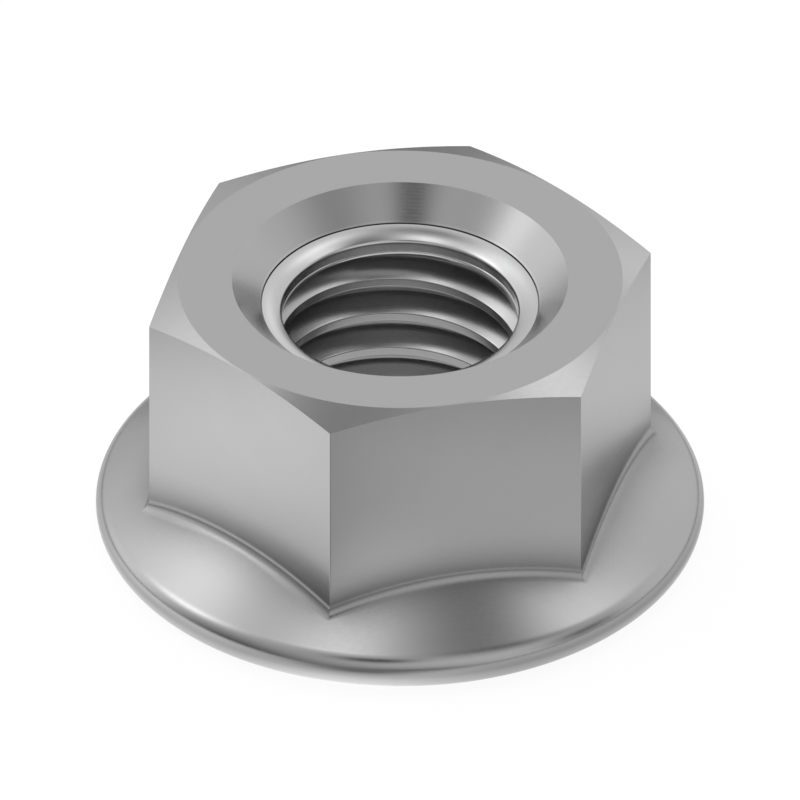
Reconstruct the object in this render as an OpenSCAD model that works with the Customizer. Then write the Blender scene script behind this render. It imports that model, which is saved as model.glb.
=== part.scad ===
// Hex flange lock nut for an M10 x 1.5 bolt, one forged and machined piece.
// Bearing face on z = 0, thread axis on Z, two hex corners on the X axis.

/* [Hex] */

// distance across two opposite wrench flats
across_flats = 16; // [15:0.1:17]
// height from the bearing face to the top face
nut_h = 10.5; // [9:0.1:12]
// how much narrower the round top face is than the wrench flats
crown_gap = 0.1; // [0.1:0.1:1.5]
// slope of the corner chamfer below the top face
crown_angle = 20; // [15:1:30]

/* [Flange] */

// largest diameter of the flange
flange_d = 21.7; // [20.5:0.1:23]
// radius of the full round on the flange rim
rim_r = 0.8; // [0.5:0.05:1]
// slope of the flange above the rim
flange_angle = 30; // [25:1:32]
// radius of the fillet between each wrench flat and the flange
fillet_r = 0.5; // [0.3:0.05:0.7]

/* [Threaded hole] */

// bore left for the thread, the minor diameter of M10 x 1.5
bore_d = 8.45; // [8.4:0.01:8.65]
// mouth diameter of the upper countersink
sink_d = 12; // [11:0.1:13]
// outer diameter of the rolled ring at the foot of the countersink
ring_d = 9.9; // [9.4:0.1:10.4]
// how far the rolled ring bulges out of the countersink
ring_bulge = 0.17; // [0.1:0.01:0.2]
// mouth diameter of the lower entry chamfer
entry_d = 10.8; // [10:0.1:11.5]

/* [Hidden] */

$fa = 3;
$fs = 0.1;

flat_r = across_flats / 2;
corner_r = flat_r / cos(30);

// rim circle of the flange and the point where its cone leaves the rim
rim_x = flange_d / 2 - rim_r;
cone_x = rim_x + rim_r * sin(flange_angle);
cone_z = rim_r + rim_r * cos(flange_angle);

// height of the flange cone at a distance from the axis
function cone_height(r) = cone_z + (cone_x - r) * tan(flange_angle);

// path of the fillet's rolling ball beside a flat, an arc through its
// height at the middle of the flat and at the corner
ball_y = flat_r + fillet_r;
ball_lift = fillet_r / cos(flange_angle);
ball_half = ball_y * tan(30);
ball_mid_z = cone_height(ball_y) + ball_lift;
ball_end_z = cone_height(ball_y / cos(30)) + ball_lift;
ball_drop = ball_mid_z - ball_end_z;
ball_path_r = (pow(ball_half, 2) + pow(ball_drop, 2)) / (2 * ball_drop);

// steeper slope at which the fillet runs on under the skin of the flange
dive_extra = 6;
dive_angle = flange_angle + dive_extra;
dive_y = ball_y - fillet_r * sin(dive_angle);
dive_q = ball_path_r - fillet_r * cos(dive_angle);

// round blank of the hexagon, its skirt hidden under the flange cone
tip_r = ball_y / cos(30) - fillet_r * sin(flange_angle);
blank_r = (tip_r + cone_x) / 2;
blank_z = rim_r;

// room the cutters keep around the nut
spare = 2;
cutter_y = blank_r + spare;
cutter_low_q = dive_q - (cutter_y - dive_y) * tan(dive_angle);
cutter_top_q = ball_path_r + nut_h;

// half the angle a flat's cutter sweeps, past the ends of the flat
sweep_extra = 2;
sweep_half = asin(sqrt(pow(blank_r, 2) - pow(flat_r, 2)) / cutter_low_q) + sweep_extra;

// rolled ring, an arc across the corner of countersink and bore
bore_r = bore_d / 2;
ring_skin = 0.02;
ring_in = bore_r - ring_skin;
ring_chord = (ring_d / 2 - ring_in) * sqrt(2);
ring_r = (pow(ring_chord / 2, 2) + pow(ring_bulge, 2)) / (2 * ring_bulge);
ring_mid = (ring_d / 2 + ring_in) / 2;
ring_shift = (ring_r - ring_bulge) / sqrt(2);

// air outside one flat, swept along the arc that the fillet follows at its foot
module flat_cutter() {
    translate([0, 0, ball_mid_z - ball_path_r])
        rotate([-90, 0, 0])
            rotate_extrude(angle = 2 * sweep_half, start = -90 - sweep_half, $fn = 360)
                union() {
                    translate([ball_path_r, ball_y])
                        circle(r = fillet_r, $fn = 96);
                    polygon([
                        [ball_path_r, ball_y],
                        [ball_path_r, flat_r],
                        [cutter_top_q, flat_r],
                        [cutter_top_q, cutter_y],
                        [cutter_low_q, cutter_y],
                        [dive_q, dive_y]
                    ]);
                }
}

// hexagon cut from a round blank, six flats with their fillets
module hex_body() {
    difference() {
        translate([0, 0, blank_z])
            cylinder(r = blank_r, h = nut_h - blank_z);
        for (side = [0 : 5])
            rotate([0, 0, 60 * side])
                flat_cutter();
    }
}

// turned envelope that chamfers the six corners at the top
module crown_envelope() {
    wide_r = blank_r + spare;
    crown_r = flat_r - crown_gap / 2;
    rotate_extrude()
        polygon([
            [0, 0],
            [wide_r, 0],
            [wide_r, nut_h - (wide_r - crown_r) * tan(crown_angle)],
            [crown_r, nut_h],
            [0, nut_h]
        ]);
}

// conical flange with a full round on its rim
module flange() {
    inner_r = flat_r - spare;
    rotate_extrude()
        union() {
            translate([rim_x, rim_r])
                circle(r = rim_r);
            polygon([
                [0, 0],
                [rim_x, 0],
                [rim_x, rim_r],
                [cone_x, cone_z],
                [inner_r, cone_height(inner_r)],
                [0, cone_height(inner_r)]
            ]);
        }
}

// countersink at the top, with the rolled ring left standing at its foot
module upper_sink() {
    sink_r = sink_d / 2;
    rotate_extrude()
        difference() {
            polygon([
                [0, nut_h - sink_r],
                [sink_r + spare, nut_h + spare],
                [0, nut_h + spare]
            ]);
            translate([ring_mid + ring_shift, nut_h - sink_r + ring_mid - ring_shift])
                circle(r = ring_r);
        }
}

// through bore and the chamfer where the bolt enters
module lower_bore() {
    entry_r = entry_d / 2;
    translate([0, 0, -spare])
        cylinder(r = bore_r, h = nut_h + 2 * spare);
    translate([0, 0, -spare])
        cylinder(r1 = entry_r + spare, r2 = 0, h = entry_r + spare);
}

module nut() {
    color([0.66, 0.66, 0.67])
        difference() {
            union() {
                intersection() {
                    hex_body();
                    crown_envelope();
                }
                flange();
            }
            upper_sink();
            lower_bore();
        }
}

nut();
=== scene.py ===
import math

import bmesh
import bpy
import numpy as np
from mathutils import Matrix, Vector


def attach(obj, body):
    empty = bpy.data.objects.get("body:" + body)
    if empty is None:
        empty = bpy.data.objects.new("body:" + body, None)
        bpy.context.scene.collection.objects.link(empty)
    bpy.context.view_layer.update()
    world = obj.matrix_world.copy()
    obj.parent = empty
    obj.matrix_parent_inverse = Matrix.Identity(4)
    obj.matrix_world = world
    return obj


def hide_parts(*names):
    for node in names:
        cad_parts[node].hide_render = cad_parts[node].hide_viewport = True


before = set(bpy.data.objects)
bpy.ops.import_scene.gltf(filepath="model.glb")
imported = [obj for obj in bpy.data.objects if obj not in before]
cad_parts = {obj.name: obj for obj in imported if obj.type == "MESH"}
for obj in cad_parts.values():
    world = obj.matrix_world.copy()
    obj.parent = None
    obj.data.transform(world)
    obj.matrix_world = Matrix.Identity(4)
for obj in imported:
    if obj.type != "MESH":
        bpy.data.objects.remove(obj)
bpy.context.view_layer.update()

# Nut
# The one piece of this object: a hex flange lock nut, M10 x 1.5, 16 mm across flats. It is cold formed together with
# its conical flange, then its faces, countersink and bore are turned and its thread is tapped. Bright steel, satin
# smooth, without marks.
MM = 0.001

# Sizes are in millimetres. Rows of points that keep an edge crisp stand as close to it as this edge.
top_z = 10.5
flat_r = 8.0
half_side = math.radians(30)
corner_r = flat_r / math.cos(half_side)
corner_round = 0.03
corner_pull = corner_round * (1 / math.cos(half_side) - 1)
corner_reach = math.degrees(corner_round * math.tan(half_side) / corner_r)
edge = 0.02

# Columns of points round the nut, in degrees: a hex corner lies at every 60 degrees, with close columns beside it
column_step = 1.25
sextant = [0.0, corner_reach, 2 * corner_reach]
sextant += [*np.arange(column_step, 59, column_step), 60 - 2 * corner_reach, 60 - corner_reach]
turn_degrees = np.array([60 * side + step for side in range(6) for step in sextant] + [360.0])
turn = np.radians(turn_degrees)
from_flat = np.radians(turn_degrees % 60 - 30)
at_corner = np.isclose(turn_degrees % 60, 0)
hex_r = flat_r / np.cos(from_flat) - corner_pull * at_corner
beside = np.sin(from_flat)

rows = []


def lay(radius, height):
    """Adds one row of points round the nut, in millimetres: a number, or one value for each column."""
    radius = radius + 0 * turn
    height = height + 0 * turn
    rows.append(np.stack([radius * np.cos(turn), radius * np.sin(turn), height], axis=1))


# Bearing face, from the entry chamfer out to the rim
entry_r = 5.4
rim_r, rim_x = 0.8, 10.05
for radius in (entry_r, entry_r + edge, 6.5, 8.5, rim_x - edge):
    lay(radius, 0.0)

# Rim, a full round up to the flange cone
flange_slope = math.radians(30)
for angle in np.radians(np.linspace(-90, 60, 31)):
    lay(rim_x + rim_r * math.cos(angle), rim_r + rim_r * math.sin(angle))

# Fillet at the foot of each flat, a ball rolled along an arc beside the flat, worked out before the cone below it.
# Past the dive slope it runs on straight, under the skin of the cone.
cone_x = rim_x + rim_r * math.sin(flange_slope)
cone_z = rim_r + rim_r * math.cos(flange_slope)
fillet_r = 0.5
ball_y = flat_r + fillet_r
dive_slope = math.radians(36)


def cone_height(radius):
    """Height of the flange cone at a distance from the axis."""
    return cone_z + (cone_x - radius) * math.tan(flange_slope)


ball_lift = fillet_r / math.cos(flange_slope)
ball_mid_z = cone_height(ball_y) + ball_lift
ball_drop = ball_mid_z - cone_height(ball_y / math.cos(half_side)) - ball_lift
ball_half = ball_y * math.tan(half_side)
ball_path_r = (ball_half**2 + ball_drop**2) / (2 * ball_drop)
ball_axis_z = ball_mid_z - ball_path_r


def fillet_point(tilt):
    """Radius and height of the fillet in every column, where its surface has turned by tilt from the flat."""
    round_part = np.minimum(tilt, math.pi / 2 - dive_slope)
    straight_part = np.maximum(tilt - round_part, 0)
    out = ball_y - fillet_r * np.cos(round_part) + straight_part
    reach = ball_path_r - fillet_r * np.sin(round_part) - straight_part * math.tan(dive_slope)
    radius = out / np.cos(from_flat)
    return radius, ball_axis_z + np.sqrt(reach**2 - (radius * beside) ** 2)


# The tilt at which the fillet meets the cone, found by halving the range that holds it
halvings = 50
fillet_end, past_end = np.zeros_like(turn), np.full_like(turn, 2.0)
for _ in range(halvings):
    middle = (fillet_end + past_end) / 2
    radius, height = fillet_point(middle)
    above = height > cone_height(radius)
    fillet_end, past_end = np.where(above, middle, fillet_end), np.where(above, past_end, middle)
foot_r = fillet_point(fillet_end)[0]

# Flange cone, from the rim in to the fillets
for share in (0.02, 0.15, 0.3, 0.45, 0.6, 0.75, 0.88, 0.97):
    radius = cone_x + (foot_r - cone_x) * share
    lay(radius, cone_height(radius))

# Fillets, from the cone up to the flats
fillet_steps = 16
for step in range(fillet_steps + 1):
    share = 1 - step / fillet_steps
    radius, height = fillet_point(fillet_end * share)
    lay(radius - corner_pull * at_corner * (1 - share), height)

# Wrench flats, up to the corner chamfer
fillet_top = fillet_point(np.zeros_like(turn))[1]
crown_r = 7.95
crown_slope = math.tan(math.radians(20))
flat_top = top_z - (hex_r - crown_r) * crown_slope
for share in (0.0, 0.33, 0.67, 1.0):
    lay(hex_r, fillet_top + edge + (flat_top - fillet_top - 2 * edge) * share)
lay(hex_r, flat_top)

# Corner chamfer and the round top face
for share in (0.98, 0.75, 0.5, 0.25):
    radius = crown_r + (hex_r - crown_r) * share
    lay(radius, top_z - (radius - crown_r) * crown_slope)
lay(crown_r + edge * 0.5, top_z - edge * 0.5 * crown_slope)
for radius in (crown_r, crown_r - edge, 7.2, 6.6):
    lay(radius, top_z)

# Countersink, down to the fine slot at the foot of the ring
sink_r = 6.0
for radius in (sink_r + edge, sink_r):
    lay(radius, top_z)
for radius in (sink_r - edge, 5.75, 5.5, 5.25, 5.0, 4.985, 4.974):
    lay(radius, top_z - sink_r + radius)
for radius, height in ((4.967, 9.34), (4.951, 9.32), (4.936, 9.34)):
    lay(radius, height)

# Rolled ring: a broad shoulder and a tighter turn at its inner edge
bore_r = 4.225
ring_foot_r, ring_foot_z = 4.93, 9.43
shoulder_round = 1.379
shoulder_turn = np.radians(np.linspace(6, 34, 11))
shoulder_start, shoulder_end = shoulder_turn[0], shoulder_turn[-1]
shoulder_reach = shoulder_round * (math.sin(shoulder_end) - math.sin(shoulder_start))
shoulder_x = ring_foot_r + shoulder_round * math.sin(shoulder_start)
shoulder_z = ring_foot_z - shoulder_round * math.cos(shoulder_start)
for angle in shoulder_turn:
    lay(shoulder_x - shoulder_round * math.sin(angle), shoulder_z + shoulder_round * math.cos(angle))
inner_round = (ring_foot_r - shoulder_reach - bore_r) / (1 - math.sin(shoulder_end))
inner_x = shoulder_x - (shoulder_round - inner_round) * math.sin(shoulder_end)
inner_z = shoulder_z + (shoulder_round - inner_round) * math.cos(shoulder_end)
for angle in np.radians(np.linspace(34, 90, 11))[1:]:
    lay(inner_x - inner_round * math.sin(angle), inner_z + inner_round * math.cos(angle))

# A short plain wall below the ring, with a hairline groove, down to the chamfered start of the thread
groove_z, groove_deep = 8.75, 0.02
band_z = 8.62
for height in (8.85, 8.78, groove_z + 0.015):
    lay(bore_r, height)
lay(bore_r + groove_deep, groove_z)
for height in (groove_z - 0.015, 8.72, 8.66):
    lay(bore_r, height)
lay(bore_r + 0.012, band_z + 0.012)
lay(bore_r + 0.03, band_z)

# Thread, right-hand M10 x 1.5: one ridge that climbs round the bore, with the edges of its crest a little rounded.
# The profile gives the height above a crest's lower corner and the radius there.
pitch = 1.5
major_r = 5.037
crest_flat = 0.33
crest_round = 0.04
flank_rise = math.tan(math.radians(30))
profile = []
for angle in np.radians([60, 40, 20, 0]):
    lift = crest_round * (flank_rise - math.sin(angle))
    profile.append((lift, bore_r + crest_round * (1 - math.cos(angle))))
for share in (0.04, 0.5, 0.96):
    profile.append((crest_round * flank_rise + (crest_flat - 2 * crest_round * flank_rise) * share, bore_r))
for angle in np.radians([0, 20, 40, 60]):
    lift = crest_flat - crest_round * (flank_rise - math.sin(angle))
    profile.append((lift, bore_r + crest_round * (1 - math.cos(angle))))
flank_z, flank_r = profile[-1]
root_low = flank_z + (major_r - flank_r) * flank_rise
root_high = pitch - (major_r - bore_r) * flank_rise
root_mid = (root_low + root_high) / 2
root_ease = 0.012
for share in (0.04, 0.25, 0.5, 0.75, 0.93):
    profile.append((flank_z + (root_low - flank_z) * share, flank_r + (major_r - flank_r) * share))
profile += [(root_low + edge, major_r - root_ease), (root_mid, major_r), (root_high - edge, major_r - root_ease)]
for share in (0.08, 0.35, 0.65, 0.94):
    profile.append((root_high + (pitch - root_high) * share, major_r + (bore_r - major_r) * share))

crest_z = 7.2
crest_turn = 135.68
heights, radii = [], []
for turn_number in range(-6, 2):
    for lift, radius in profile:
        heights.append(crest_z + pitch * (turn_number + (turn_degrees - crest_turn) / 360) + lift)
        radii.append(radius + 0 * turn)
heights, radii = np.array(heights), np.array(radii)

# The ridge runs out in the entry chamfer below: the nearest point of each column moves onto the crossing
gap = radii - (entry_r - heights)
crossing = np.zeros(heights.shape, bool)
lower, column = np.nonzero(np.signbit(gap[:-1]) != np.signbit(gap[1:]))
share = gap[lower, column] / (gap[lower, column] - gap[lower + 1, column])
cross_z = heights[lower, column] + (heights[lower + 1, column] - heights[lower, column]) * share
nearest = np.where(share < 0.5, lower, lower + 1)
heights[nearest, column] = cross_z
radii[nearest, column] = entry_r - cross_z
crossing[nearest, column] = True
radii = np.maximum(radii, entry_r - heights)

# Points below the thread's foot gather on it, and the ridge is cut short above by the plain wall under the ring
thread_foot = 0.30
near_enough = 0.01
heights[heights < thread_foot + near_enough] = thread_foot
radii = np.where(heights == thread_foot, entry_r - thread_foot, radii)
passed = heights > band_z - near_enough
for column in range(len(turn)):
    first = int(np.argmax(passed[:, column]))
    below = heights[first - 1, column]
    share = (band_z - below) / max(heights[first, column] - below, 1e-9)
    stop_r = radii[first - 1, column] + (radii[first, column] - radii[first - 1, column]) * min(share, 1.0)
    heights[first:, column] = band_z
    radii[first:, column] = stop_r

thread_rows = len(rows)
for height, radius in zip(heights[::-1], radii[::-1]):
    lay(radius, height)
lay(entry_r - edge, edge)

# A skin joins the rows, closed from the last row to the first. Beside the crossing its cells are split along it.
points = np.concatenate(rows) * MM
wide = len(turn)
on_crossing = {(thread_rows + row, column) for row, column in zip(*np.nonzero(crossing[::-1]))}
faces = []
for row in range(len(rows)):
    above = (row + 1) % len(rows)
    for column in range(wide - 1):
        a, b = row * wide + column, row * wide + column + 1
        c, d = above * wide + column + 1, above * wide + column
        if (row, column) in on_crossing and (above, column + 1) in on_crossing:
            faces += [(a, b, c), (a, c, d)]
        elif (row, column + 1) in on_crossing and (above, column) in on_crossing:
            faces += [(a, b, d), (b, c, d)]
        else:
            faces.append((a, b, c, d))
weld_distance = 2e-7
sharp_angle = math.radians(32)
nut_mesh = bpy.data.meshes.new("nut_body")
nut_mesh.from_pydata([tuple(point) for point in points], [], faces)
skin = bmesh.new()
skin.from_mesh(nut_mesh)
bmesh.ops.remove_doubles(skin, verts=skin.verts, dist=weld_distance)
bmesh.ops.dissolve_degenerate(skin, edges=skin.edges, dist=weld_distance / 2)
bmesh.ops.recalc_face_normals(skin, faces=skin.faces)
if skin.calc_volume(signed=True) < 0:
    bmesh.ops.reverse_faces(skin, faces=skin.faces)
skin.to_mesh(nut_mesh)
skin.free()
nut_mesh.shade_smooth()
nut_mesh.set_sharp_from_angle(angle=sharp_angle)
nut = bpy.data.objects.new("nut_body", nut_mesh)
bpy.context.scene.collection.objects.link(nut)


def add(tree, kind, **settings):
    """Adds one node to a node tree, with its settings."""
    made = tree.nodes.new(kind)
    for name, value in settings.items():
        setattr(made, name, value)
    return made


def feed(tree, value, socket):
    """Links a node's output to a socket, or sets the socket to a plain value."""
    if isinstance(value, bpy.types.NodeSocket):
        tree.links.new(value, socket)
    else:
        socket.default_value = value


def calculate(tree, operation, *values):
    """One math node on one or two values, each a node's output or a number."""
    made = add(tree, "ShaderNodeMath", operation=operation)
    for value, socket in zip(values, made.inputs):
        feed(tree, value, socket)
    return made.outputs[0]


def noise(tree, scale, detail, place):
    """A noise texture, its features about one over scale metres across."""
    made = add(tree, "ShaderNodeTexNoise")
    for name, value in (("Scale", scale), ("Detail", detail), ("Vector", place)):
        feed(tree, value, made.inputs[name])
    return made.outputs["Fac"]


def spread(tree, value, low, high, start=0.3, end=0.7):
    """Stretches a value that runs from start to end, so that it runs from low to high."""
    made = add(tree, "ShaderNodeMapRange")
    for name, given in (("Value", value), ("From Min", start), ("From Max", end), ("To Min", low), ("To Max", high)):
        feed(tree, given, made.inputs[name])
    return made.outputs["Result"]


def curve(tree, value, stops):
    """A curve through stops, each a value and what it becomes."""
    reach = stops[-1][0]
    largest = max(becomes for _, becomes in stops)
    made = add(tree, "ShaderNodeValToRGB")
    feed(tree, calculate(tree, "DIVIDE", value, reach), made.inputs["Fac"])
    marks = made.color_ramp.elements
    while len(marks) < len(stops):
        marks.new(1.0)
    for mark, (at, becomes) in zip(marks, stops):
        mark.position = at / reach
        mark.color = (becomes / largest, becomes / largest, becomes / largest, 1)
    return calculate(tree, "MULTIPLY", made.outputs["Color"], largest)


# Satin steel. Its colour drifts a little over a few millimetres, and a fine grain breaks its sheen.
steel = bpy.data.materials.new("satin_steel")
steel.use_nodes = True
finish = steel.node_tree
finish.nodes.clear()
place = add(finish, "ShaderNodeTexCoord").outputs["Object"]
drift = noise(finish, 500, 3, place)
grain = noise(finish, 6000, 4, place)

# The turned faces carry the faint rings of the cutting tool, one for each step of the tool
tool_step = 0.00009
ring_wander = 9.0
apart = add(finish, "ShaderNodeSeparateXYZ")
feed(finish, place, apart.inputs[0])
x, y, z = apart.outputs
across = calculate(finish, "ADD", calculate(finish, "MULTIPLY", x, x), calculate(finish, "MULTIPLY", y, y))
across = calculate(finish, "SQRT", across)
normal = add(finish, "ShaderNodeSeparateXYZ")
feed(finish, add(finish, "ShaderNodeNewGeometry").outputs["True Normal"], normal.inputs[0])
turned = spread(finish, calculate(finish, "ABSOLUTE", normal.outputs["Z"]), 0, 1, 0.2, 0.45)
wave = calculate(finish, "MULTIPLY", across, 2 * math.pi / tool_step)
wave = calculate(finish, "ADD", wave, calculate(finish, "MULTIPLY", drift, ring_wander))
tool_marks = calculate(finish, "MULTIPLY", calculate(finish, "SINE", wave), turned)
tool_marks = calculate(finish, "MULTIPLY", tool_marks, drift)

# Painted highlight: the ring and the bore are painted brighter than the rest, the ring's inner edge most of all
painted_highlight_by_height = ((0.00855, 0.10), (0.00865, 0.75), (0.00900, 0.75), (0.00915, 0.27), (0.01050, 0.27))
in_bore = spread(finish, across, 1.0, 0.0, 0.00494, 0.00505)
painted_bore_highlight = calculate(finish, "MULTIPLY", curve(finish, z, painted_highlight_by_height), in_bore)
painted_bore_highlight = calculate(finish, "ADD", painted_bore_highlight, 1.0)

# Painted shade: where ambient occlusion finds the outside sheltered, at the fillets, its colour is darkened; these
# corners are also made rougher
shelter_reach = 0.002
painted_shade_strength = 1.7
shelter_roughens = 0.6
open_air = add(finish, "ShaderNodeAmbientOcclusion", samples=8, only_local=True)
feed(finish, shelter_reach, open_air.inputs["Distance"])
outside = spread(finish, across, 0.0, 1.0, 0.0062, 0.0070)
recess_shade_and_rough = calculate(finish, "MULTIPLY", calculate(finish, "SUBTRACT", 1.0, open_air.outputs["AO"]), outside)

# painted shade: the colour is darkened where ambient occlusion finds the outside sheltered
painted_recess_shade = calculate(finish, "SUBTRACT", 1.0, calculate(finish, "MULTIPLY", recess_shade_and_rough, painted_shade_strength))
shade = calculate(finish, "MULTIPLY", spread(finish, drift, 0.99, 1.01), painted_bore_highlight)
shade = calculate(finish, "MULTIPLY", shade, painted_recess_shade)
tone = add(finish, "ShaderNodeMix", data_type="RGBA", blend_type="MULTIPLY")
for at, value in ((0, 1.0), (6, (0.428, 0.428, 0.431, 1)), (7, shade)):
    feed(finish, value, tone.inputs[at])

rough = spread(finish, grain, 0.205, 0.235)
rough = calculate(finish, "ADD", rough, calculate(finish, "MULTIPLY", tool_marks, 0.02))
rough = calculate(finish, "ADD", rough, calculate(finish, "MULTIPLY", recess_shade_and_rough, shelter_roughens))

relief = calculate(finish, "MULTIPLY", grain, 0.5)
relief = calculate(finish, "ADD", relief, calculate(finish, "MULTIPLY", tool_marks, 0.05))
bump = add(finish, "ShaderNodeBump")
for name, value in (("Strength", 0.25), ("Distance", 0.0000005), ("Height", relief)):
    feed(finish, value, bump.inputs[name])

metal = add(finish, "ShaderNodeBsdfPrincipled")
metal_inputs = (("Metallic", 1.0), ("Specular Tint", (0.95, 0.95, 0.95, 1)), ("Base Color", tone.outputs[2]),
                ("Roughness", rough), ("Normal", bump.outputs["Normal"]))
for name, value in metal_inputs:
    feed(finish, value, metal.inputs[name])
feed(finish, metal.outputs["BSDF"], add(finish, "ShaderNodeOutputMaterial").inputs["Surface"])
nut_mesh.materials.append(steel)

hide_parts("nut")
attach(nut, "root")

# Floor
# A plain white studio table top under the nut, of painted board. It shows white to the camera, to the metal it shows
# a painted glow, brightest near the nut, and it keeps a part of the nut's soft shadow.
half_width = 0.6
below_nut = 0.00001
floor_mesh = bpy.data.meshes.new("floor")
floor_corners = [(-half_width, -half_width, 0), (half_width, -half_width, 0)]
floor_corners += [(half_width, half_width, 0), (-half_width, half_width, 0)]
floor_mesh.from_pydata(floor_corners, [], [(0, 1, 2, 3)])
floor = bpy.data.objects.new("floor", floor_mesh)
floor.location.z = -below_nut
bpy.context.scene.collection.objects.link(floor)

board = bpy.data.materials.new("white_table")
board.use_nodes = True
paint = board.node_tree
paint.nodes.clear()
floor_place = add(paint, "ShaderNodeTexCoord").outputs["Object"]


def floor_distance(x, y):
    """How far a place on the floor lies from x and y."""
    made = add(paint, "ShaderNodeVectorMath", operation="DISTANCE")
    feed(paint, floor_place, made.inputs[0])
    feed(paint, (x, y, 0), made.inputs[1])
    return made.outputs["Value"]


def pool_of_light(x, y, width, strength):
    """A soft round patch on the floor, at x and y, that adds strength at its middle."""
    share = calculate(paint, "POWER", calculate(paint, "DIVIDE", floor_distance(x, y), width), 2.0)
    fade = calculate(paint, "EXPONENT", calculate(paint, "MULTIPLY", share, -1.0))
    return calculate(paint, "MULTIPLY", fade, strength)


# Painted reflection: what the metal sees of the floor is a painted glow, a curve by the distance from the nut's axis,
# with painted pools of light and shade on it, each a place, a width and a strength
sheen_by_distance = ((0.0060, 0.80), (0.0098, 1.05), (0.0110, 0.92), (0.0117, 0.62), (0.0145, 0.80), (0.0200, 0.80),
                     (0.0330, 0.12), (0.0600, 0.12))
pools = (
    (-0.0078, -0.0172, 0.0090, 0.60),
    (0.0115, -0.0155, 0.0060, -0.60),
    (0.0059, -0.0083, 0.0034, 1.05),
    (0.0045, 0.0130, 0.0070, 0.12),
    (0.0082, -0.0113, 0.0030, -0.50),
    (0.0000, -0.0124, 0.0022, 0.14),
    (0.0108, -0.0082, 0.0024, 0.22),
)
least_light = 0.03
sheen = curve(paint, floor_distance(0, 0), sheen_by_distance)
for pool in pools:
    sheen = calculate(paint, "ADD", sheen, pool_of_light(*pool))
sheen = calculate(paint, "MAXIMUM", sheen, least_light)

# The glow shows to the camera and in the metal, over the painted board that takes the light and the shadow
white_to_camera = 1.06
glow_share = 0.85
rays = add(paint, "ShaderNodeLightPath").outputs
by_ray = add(paint, "ShaderNodeMix", data_type="FLOAT")
for at, value in ((0, rays["Is Camera Ray"]), (2, sheen), (3, white_to_camera)):
    feed(paint, value, by_ray.inputs[at])
glow = add(paint, "ShaderNodeEmission")
feed(paint, by_ray.outputs[0], glow.inputs["Strength"])
matt = add(paint, "ShaderNodeBsdfDiffuse")
feed(paint, spread(paint, noise(paint, 300, 3, floor_place), 0.94, 0.96), matt.inputs["Color"])
seen = calculate(paint, "MAXIMUM", rays["Is Camera Ray"], rays["Is Glossy Ray"])
seen = calculate(paint, "MAXIMUM", seen, rays["Is Transmission Ray"])
top_side = add(paint, "ShaderNodeMixShader")
for at, value in enumerate((calculate(paint, "MULTIPLY", seen, glow_share), matt.outputs[0], glow.outputs[0])):
    feed(paint, value, top_side.inputs[at])

# From below the floor is clear, so that the bearing face can be seen
from_below = add(paint, "ShaderNodeNewGeometry").outputs["Backfacing"]
clear = add(paint, "ShaderNodeBsdfTransparent")
both_sides = add(paint, "ShaderNodeMixShader")
for at, value in enumerate((from_below, top_side.outputs[0], clear.outputs[0])):
    feed(paint, value, both_sides.inputs[at])
feed(paint, both_sides.outputs[0], add(paint, "ShaderNodeOutputMaterial").inputs["Surface"])
floor_mesh.materials.append(board)

# Light
# A plain soft studio: an even pale room with a few large soft lights in it, and a few places that are darker. Each is
# a soft patch on the room's walls, built up one after the other on the light of those before it.
soft_light = bpy.data.node_groups.new("soft_light", "ShaderNodeTree")
for name, kind in (("Ray", "NodeSocketVector"), ("Place", "NodeSocketVector"), ("Tightness", "NodeSocketFloat"),
                   ("Strength", "NodeSocketFloat"), ("Before", "NodeSocketFloat")):
    soft_light.interface.new_socket(name, in_out="INPUT", socket_type=kind)
soft_light.interface.new_socket("Light", in_out="OUTPUT", socket_type="NodeSocketFloat")
given = add(soft_light, "NodeGroupInput").outputs
near = add(soft_light, "ShaderNodeVectorMath", operation="DOT_PRODUCT")
feed(soft_light, given["Ray"], near.inputs[0])
feed(soft_light, given["Place"], near.inputs[1])
fade = calculate(soft_light, "SUBTRACT", near.outputs["Value"], 1.0)
fade = calculate(soft_light, "EXPONENT", calculate(soft_light, "MULTIPLY", fade, given["Tightness"]))
patch = calculate(soft_light, "MULTIPLY", fade, given["Strength"])
patch = calculate(soft_light, "ADD", patch, given["Before"])
feed(soft_light, patch, add(soft_light, "NodeGroupOutput").inputs["Light"])

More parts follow.
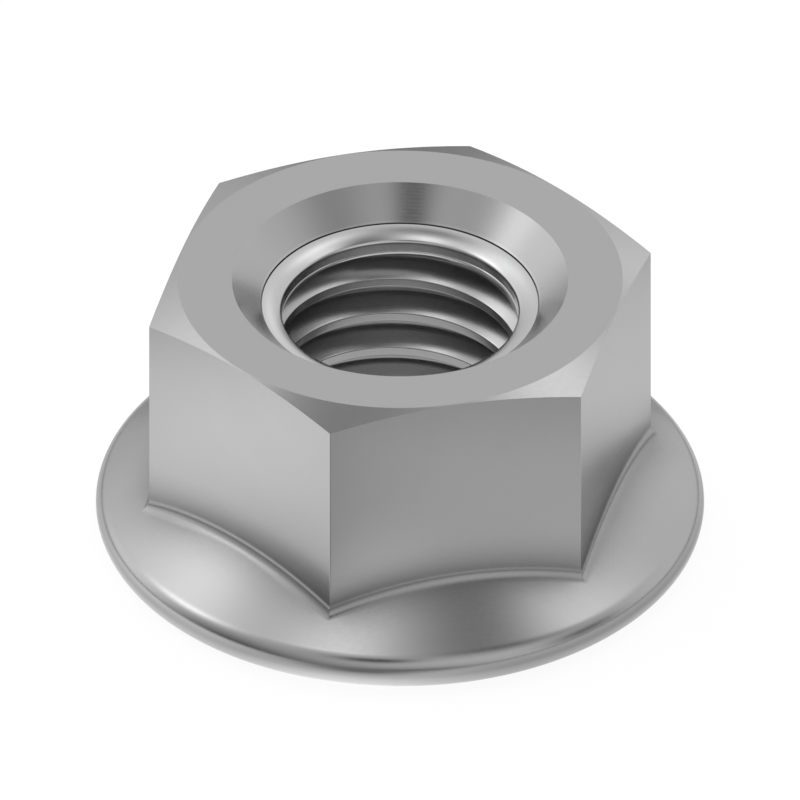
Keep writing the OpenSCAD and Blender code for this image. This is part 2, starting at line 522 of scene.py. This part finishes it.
# Each light: degrees round the nut, degrees up, strength and tightness
lights = (
    (171, 56, 1.51, 22.2),
    (216, 43, 1.83, 50.0),
    (252, 77, 1.13, 77.4),
    (93, 58, 0.98, 54.7),
    (53, 56, 1.25, 40.3),
    (305, 49, -1.25, 80.1),
    (34, 63, -1.01, 12.3),
    (164, 63, -1.61, 27.6),
    (228, -25, -1.61, 1.9),
    (207, 3, 1.38, 5.9),
    (118, 25, 0.45, 80.1),
    (321, -22, -1.61, 11.5),
    (25, 14, -0.78, 33.5),
)
room_light = 0.987
studio = bpy.data.worlds.new("studio")
studio.use_nodes = True
bpy.context.scene.world = studio
room = studio.node_tree
room.nodes.clear()
ray = add(room, "ShaderNodeTexCoord").outputs["Generated"]
light = room_light
for around, up, strength, tightness in lights:
    around, up = math.radians(around), math.radians(up)
    towards_light = (math.cos(around) * math.cos(up), math.sin(around) * math.cos(up), math.sin(up))
    lamp = add(room, "ShaderNodeGroup", node_tree=soft_light)
    for name, value in (("Ray", ray), ("Place", towards_light), ("Tightness", tightness), ("Strength", strength),
                        ("Before", light)):
        feed(room, value, lamp.inputs[name])
    light = lamp.outputs["Light"]
walls = add(room, "ShaderNodeBackground")
feed(room, (1, 1, 1, 1), walls.inputs["Color"])
feed(room, calculate(room, "MAXIMUM", light, least_light), walls.inputs["Strength"])
feed(room, walls.outputs[0], add(room, "ShaderNodeOutputWorld").inputs["Surface"])

# Camera
# A long view without perspective, from above the corner that is nearest in the photograph.
lens = bpy.data.cameras.new("camera")
lens.type = "ORTHO"
lens.ortho_scale = 0.028537
lens.clip_start = 0.01
lens.clip_end = 5
camera = bpy.data.objects.new("camera", lens)
camera_distance = 0.2
aim = Vector((0, 0, 0.005226))
towards_camera = Vector((0.5841, -0.5705, 0.57735)).normalized()
camera.location = aim + towards_camera * camera_distance
camera.rotation_euler = towards_camera.to_track_quat("Z", "Y").to_euler()
bpy.context.scene.collection.objects.link(camera)
bpy.context.scene.camera = camera

bpy.context.scene.view_settings.view_transform = "Standard"
